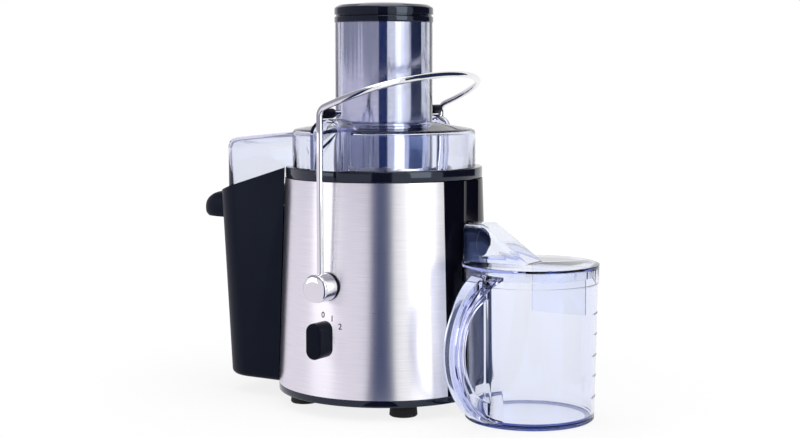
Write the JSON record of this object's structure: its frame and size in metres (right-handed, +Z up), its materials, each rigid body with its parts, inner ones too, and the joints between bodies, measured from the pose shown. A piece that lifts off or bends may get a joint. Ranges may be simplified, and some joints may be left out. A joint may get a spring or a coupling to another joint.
{
  "type": "centrifugal juicer",
  "caption": "Round brushed-steel and black centrifugal juicer with a clear lid and wide feed chute, pusher, locking bail, turn knob, pulp bin and clear lidded jug",
  "frame": {"origin": "on the table under the middle of the whole box; the drive axis stands at x = -7 mm", "axes": "+X towards the jug, -Y towards the knob (the front), +Z up"},
  "size_m": [0.422, 0.2409, 0.378],
  "materials": {
    "black_matte": "fine-textured moulded black plastic",
    "black_gloss": "polished moulded black plastic",
    "bin_matte": "satin dark moulded plastic",
    "steel": "stainless sheet, fine horizontal brushing",
    "mesh_steel": "pierced stainless sheet",
    "chrome": "polished chrome plate",
    "rubber": "black moulded rubber",
    "clear": "clear moulded plastic with a faint blue tint",
    "shaft_steel": "ground steel",
    "laminations": "varnished steel laminations",
    "copper": "enamelled copper winding",
    "bracket": "die-cast bracket",
    "white_plastic": "moulded insulating plastic",
    "screw": "zinc-plated screw"
  },
  "bodies": {
    "base": {"housing": "black_gloss", "steel_front": "steel", "steel_back": "steel", "base_plate": "black_matte", "rubber_feet": "rubber", "base_screws": "screw", "cord_gland": "rubber", "motor_stator": "laminations", "motor_coils": "copper", "motor_bracket_low": "bracket", "motor_bracket_top": "bracket", "bearing_low": "shaft_steel", "bearing_top": "shaft_steel", "brush_holders": "white_plastic", "motor_mounts": "rubber", "motor_screws": "screw", "juice_bowl": "black_gloss", "top_ring": "black_gloss", "shaft_seal": "rubber", "juice_spout": "black_gloss", "lid": "clear", "pulp_hood": "clear", "feed_chute": "clear", "chute_collar": "black_gloss", "pivot_bushes": "black_matte", "interlock_switch": "black_matte", "rotary_switch": "black_matte"},
    "rotor": {"rotor_shaft": "shaft_steel", "armature": "laminations", "commutator": "copper", "cooling_fan": "white_plastic", "drive_coupling": "white_plastic", "basket_wall": "mesh_steel", "basket_rim": "black_matte", "grater_disc": "mesh_steel"},
    "pusher": {"pusher_cap": "black_gloss", "pusher_sleeve": "steel", "pusher_foot": "black_matte"},
    "bail": {"bail": "chrome", "pivot_caps": "chrome", "pivot_pins": "shaft_steel", "roller_pins": "chrome", "interlock_cam": "white_plastic"},
    "roller_front": {"roller_front": "black_matte"},
    "roller_back": {"roller_back": "black_matte"},
    "knob": {"knob": "black_matte", "knob_shaft": "shaft_steel"},
    "bin": {"pulp_bin": "bin_matte"},
    "jug": {"jug": "clear", "jug_handle": "clear"},
    "jug_lid": {"jug_lid": "clear", "froth_plate": "clear"}
  },
  "joints": [
    {"name": "rotor_spin", "type": "hinge", "parent": "base", "child": "rotor", "pos_m": [-0.007, 0, 0.09], "axis": [0, 0, 1], "continuous": true},
    {"name": "pusher_slide", "type": "slide", "parent": "base", "child": "pusher", "axis": [0, 0, 1], "range_m": [0, 0.17]},
    {"name": "bail_swing", "type": "hinge", "parent": "base", "child": "bail", "pos_m": [-0.007, 0, 0.12], "axis": [0, 1, 0], "range_deg": [0, 55]},
    {"name": "roller_front_spin", "type": "hinge", "parent": "bail", "child": "roller_front", "pos_m": [-0.007, -0.0959, 0.276], "axis": [0, 1, 0], "continuous": true},
    {"name": "roller_back_spin", "type": "hinge", "parent": "bail", "child": "roller_back", "pos_m": [-0.007, 0.0959, 0.276], "axis": [0, 1, 0], "continuous": true},
    {"name": "knob_turn", "type": "hinge", "parent": "base", "child": "knob", "pos_m": [-0.007, -0.1, 0.0726], "axis": [0, 1, 0], "range_deg": [0, 60]},
    {"name": "bin_slide", "type": "slide", "parent": "base", "child": "bin", "axis": [-1, 0, 0], "range_m": [0, 0.11]},
    {"name": "jug_slide", "type": "slide", "parent": "base", "child": "jug", "axis": [1, 0, 0], "range_m": [0, 0.12]},
    {"name": "jug_lid_lift", "type": "slide", "parent": "jug", "child": "jug_lid", "axis": [0, 0, 1], "range_m": [0, 0.06]}
  ]
}
